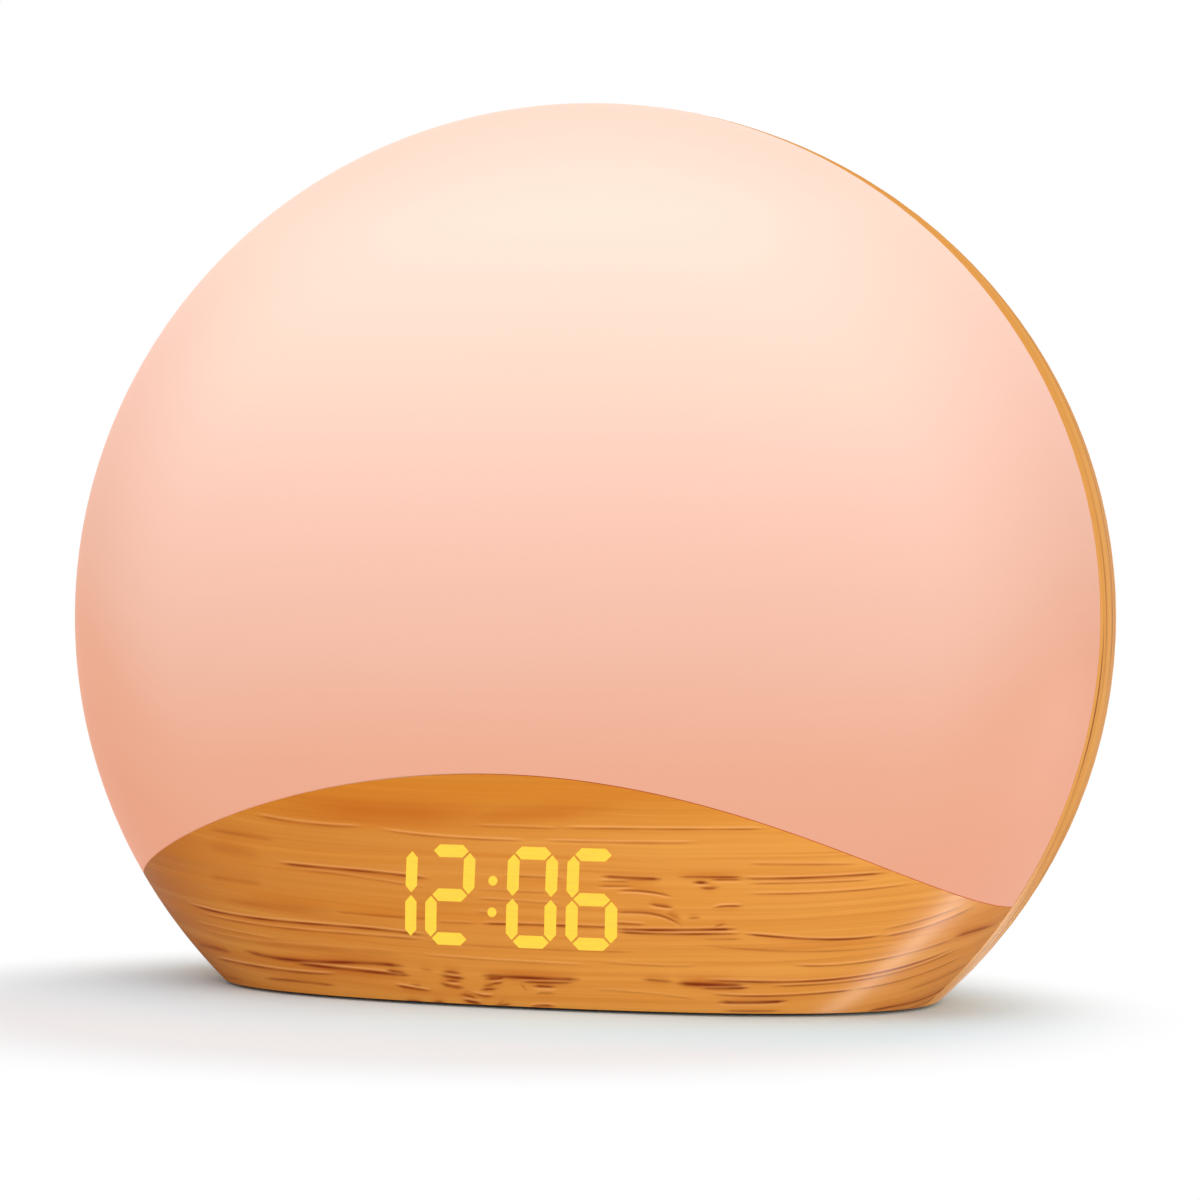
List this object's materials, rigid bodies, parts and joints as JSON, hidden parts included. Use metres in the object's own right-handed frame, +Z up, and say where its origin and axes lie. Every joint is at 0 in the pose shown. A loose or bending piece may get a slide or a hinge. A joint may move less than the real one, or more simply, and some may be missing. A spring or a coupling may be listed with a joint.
{
  "type": "sunrise alarm clock",
  "caption": "Free-standing bedside clock with a glowing milky dome front, bamboo-look base with a seven-segment display, and push buttons on the back.",
  "frame": {"origin": "on the table under the middle of the body's box, in the plane of the rubber foot", "axes": "+Z up, +X to the right as the viewer faces the display, +Y from the display towards the back; the display faces -Y"},
  "size_m": [0.2, 0.0755, 0.1615],
  "materials": {
    "opal_diffuser": "satin, milky, glowing",
    "bamboo_print": "satin bamboo-grain print",
    "lit_segments": "glowing",
    "white_plastic": "matte",
    "led_phosphor": "satin",
    "black_plastic": "fine grain",
    "black_rubber": "matte",
    "button_plastic": "satin",
    "plunger_plastic": "matte",
    "clear_resin": "gloss",
    "white_board": "solder mask",
    "green_board": "solder mask",
    "chip_black": "matte",
    "can_metal": "satin",
    "ribbon_film": "satin",
    "wire_jacket": "soft satin",
    "speaker_metal": "satin",
    "cone_paper": "matte paper",
    "foam": "matte",
    "zinc_steel": "satin",
    "contact_metal": "satin"
  },
  "bodies": {
    "root": {"front_diffuser": "opal_diffuser", "base_front_cover": "bamboo_print", "rear_shell": "bamboo_print", "lit_digits": "lit_segments", "mid_frame": "white_plastic", "led_chips": "led_phosphor", "segment_leds": "led_phosphor", "display_block": "black_plastic", "bottom_plate": "black_plastic", "battery_door": "black_plastic", "dc_jack": "black_plastic", "board_connectors": "black_plastic", "tact_switches": "black_plastic", "usb_outlet_tongue": "black_plastic", "foot_ring": "black_rubber", "segment_light_pipes": "clear_resin", "led_board": "white_board", "display_board": "green_board", "main_board": "green_board", "socket_board": "green_board", "board_chips": "chip_black", "board_capacitors": "can_metal", "display_ribbon": "ribbon_film", "light_ribbon": "ribbon_film", "power_lead": "wire_jacket", "speaker_lead": "wire_jacket", "speaker_frame": "speaker_metal", "speaker_magnet": "speaker_metal", "speaker_cone": "cone_paper", "speaker_gasket": "foam", "speaker_screws": "zinc_steel", "board_screws": "zinc_steel", "case_screws": "zinc_steel", "bottom_screws": "zinc_steel", "battery_door_screw": "zinc_steel", "coin_cell": "zinc_steel", "dc_jack_pin": "contact_metal", "usb_outlet_shell": "contact_metal", "battery_contacts": "contact_metal", "button_board": "green_board", "button_ribbon": "ribbon_film"},
    "alarm_one_button": {"button_alarm_one": "button_plastic", "plunger_alarm_one": "plunger_plastic"},
    "alarm_two_button": {"button_alarm_two": "button_plastic", "plunger_alarm_two": "plunger_plastic"},
    "light_button": {"button_light": "button_plastic", "plunger_light": "plunger_plastic"},
    "brightness_button": {"button_brightness": "button_plastic", "plunger_brightness": "plunger_plastic"},
    "timer_button": {"button_timer": "button_plastic", "plunger_timer": "plunger_plastic"},
    "sound_button": {"button_sound": "button_plastic", "plunger_sound": "plunger_plastic"},
    "minus_button": {"button_minus": "button_plastic", "plunger_minus": "plunger_plastic"},
    "plus_button": {"button_plus": "button_plastic", "plunger_plus": "plunger_plastic"}
  },
  "joints": [
    {"name": "alarm_one_press", "type": "slide", "parent": "root", "child": "alarm_one_button", "axis": [0, -1, 0], "range_m": [0, 0.0006], "stiffness_N_per_m": 900},
    {"name": "alarm_two_press", "type": "slide", "parent": "root", "child": "alarm_two_button", "axis": [0, -1, 0], "range_m": [0, 0.0006], "stiffness_N_per_m": 900},
    {"name": "light_press", "type": "slide", "parent": "root", "child": "light_button", "axis": [0, -1, 0], "range_m": [0, 0.0006], "stiffness_N_per_m": 900},
    {"name": "brightness_press", "type": "slide", "parent": "root", "child": "brightness_button", "axis": [0, -1, 0], "range_m": [0, 0.0006], "stiffness_N_per_m": 900},
    {"name": "timer_press", "type": "slide", "parent": "root", "child": "timer_button", "axis": [0, -1, 0], "range_m": [0, 0.0006], "stiffness_N_per_m": 900},
    {"name": "sound_press", "type": "slide", "parent": "root", "child": "sound_button", "axis": [0, -1, 0], "range_m": [0, 0.0006], "stiffness_N_per_m": 900},
    {"name": "minus_press", "type": "slide", "parent": "root", "child": "minus_button", "axis": [0, -1, 0], "range_m": [0, 0.0006], "stiffness_N_per_m": 900},
    {"name": "plus_press", "type": "slide", "parent": "root", "child": "plus_button", "axis": [0, -1, 0], "range_m": [0, 0.0006], "stiffness_N_per_m": 900}
  ]
}
